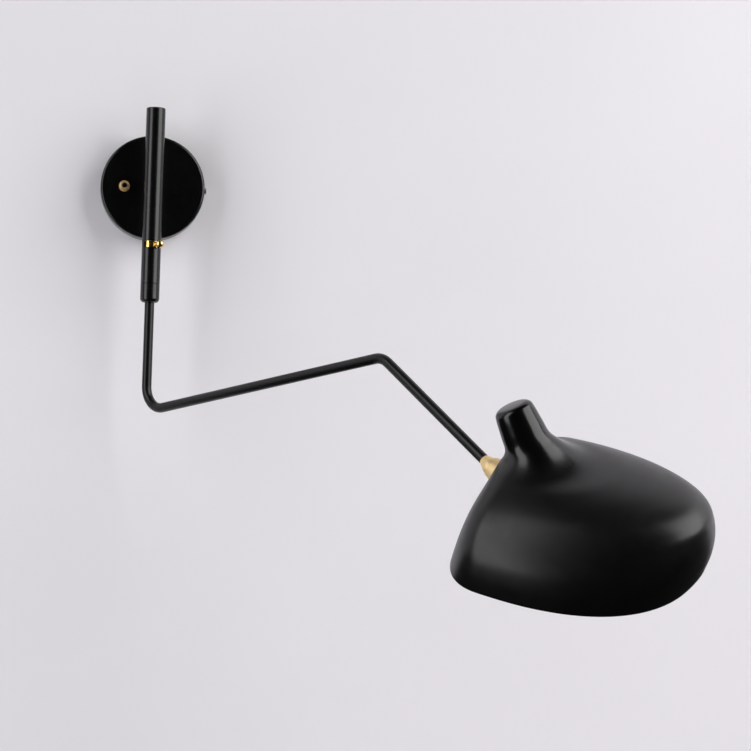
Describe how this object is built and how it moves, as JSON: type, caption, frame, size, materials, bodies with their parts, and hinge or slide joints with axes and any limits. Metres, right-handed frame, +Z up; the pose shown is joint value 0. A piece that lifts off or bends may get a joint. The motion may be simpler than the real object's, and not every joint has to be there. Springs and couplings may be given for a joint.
{
  "type": "wall lamp",
  "caption": "Wall lamp with a round canopy, an upright pivot tube, a bent swivelling arm and a dished shade with a hollow knob on a ball joint.",
  "frame": {"origin": "centre of the canopy's back, on the wall plane, midway between the two wall slots", "axes": "+Y into the wall, the room is towards -Y, +Z up, +X to the right seen from the room"},
  "size_m": [0.5432, 0.5786, 0.4903],
  "materials": {
    "black_gloss": "glossy black lacquer",
    "black_satin": "satin black lacquer; the inside of the shade is white",
    "brass_polished": "polished",
    "brass_satin": "satin, turned",
    "steel": "zinc plated",
    "plastic_black": "moulded",
    "plastic_pale": "moulded",
    "lead_sleeve": "insulated lead",
    "brass_contact": "plain",
    "bulb_metal": "pressed screw cap",
    "bulb_glass": "frosted"
  },
  "bodies": {
    "wall_unit": {"wall_bracket": "steel", "canopy": "black_gloss", "canopy_side_screw": "steel", "earth_screw": "steel", "terminal_block": "plastic_pale", "terminal_screws": "brass_contact", "switch_body": "plastic_black", "switch_tags": "brass_contact", "switch_washer": "brass_satin", "switch_collar": "brass_polished", "switch_leads": "lead_sleeve", "tube_post": "black_gloss", "post_washer": "steel", "post_nut": "steel", "pivot_tube": "black_gloss", "tube_top_plug": "black_gloss", "pivot_spindle": "steel", "spindle_washer": "steel", "spindle_nut": "steel", "tube_lead": "lead_sleeve"},
    "button": {"switch_button": "plastic_black"},
    "arm": {"lock_ring": "brass_polished", "swivel_sleeve": "black_gloss", "sleeve_bush": "brass_satin", "sleeve_cap": "black_gloss", "cap_grub_screw": "steel", "arm_rod": "black_satin", "arm_lead": "lead_sleeve", "joint_cone": "brass_satin", "cone_keeper": "brass_satin"},
    "thumbscrew": {"lock_screw": "brass_polished"},
    "seat": {"ball_seat": "plastic_pale"},
    "ball": {"ball_stud": "brass_satin", "joint_cup": "brass_satin", "stud_nut": "steel"},
    "shade_unit": {"shade": "black_satin", "outer_washer": "steel", "inner_washer": "steel", "holder_cap": "plastic_black", "holder_body": "plastic_black", "holder_shell": "brass_contact", "holder_contact": "brass_contact", "shade_lead": "lead_sleeve", "bulb_cap": "bulb_metal", "bulb_glass": "bulb_glass"}
  },
  "joints": [
    {"name": "arm_swivel", "type": "hinge", "parent": "wall_unit", "child": "arm", "pos_m": [0, -0.052, 0], "axis": [0, 0, 1], "range_deg": [-113, 37]},
    {"name": "lock_screw_turn", "type": "hinge", "parent": "arm", "child": "thumbscrew", "pos_m": [0, -0.052, -0.06345], "axis": [0.5592, -0.829, 0], "range_deg": [-180, 180]},
    {"name": "switch_press", "type": "slide", "parent": "wall_unit", "child": "button", "axis": [0, 1, 0], "range_m": [0, 0.0015], "stiffness_N_per_m": 1500},
    {"name": "shade_swivel", "type": "hinge", "parent": "arm", "child": "seat", "pos_m": [0.29931, -0.4351, -0.28527], "axis": [0.5028, -0.6435, -0.5772], "range_deg": [-90, 90]},
    {"name": "shade_tilt", "type": "hinge", "parent": "seat", "child": "ball", "pos_m": [0.29931, -0.4351, -0.28527], "axis": [0.2447, -0.5344, 0.809], "range_deg": [-47, 3.5]},
    {"name": "shade_turn", "type": "hinge", "parent": "ball", "child": "shade_unit", "pos_m": [0.29931, -0.4351, -0.28527], "axis": [0.7665, -0.4044, -0.499], "range_deg": [-60, 60]}
  ]
}
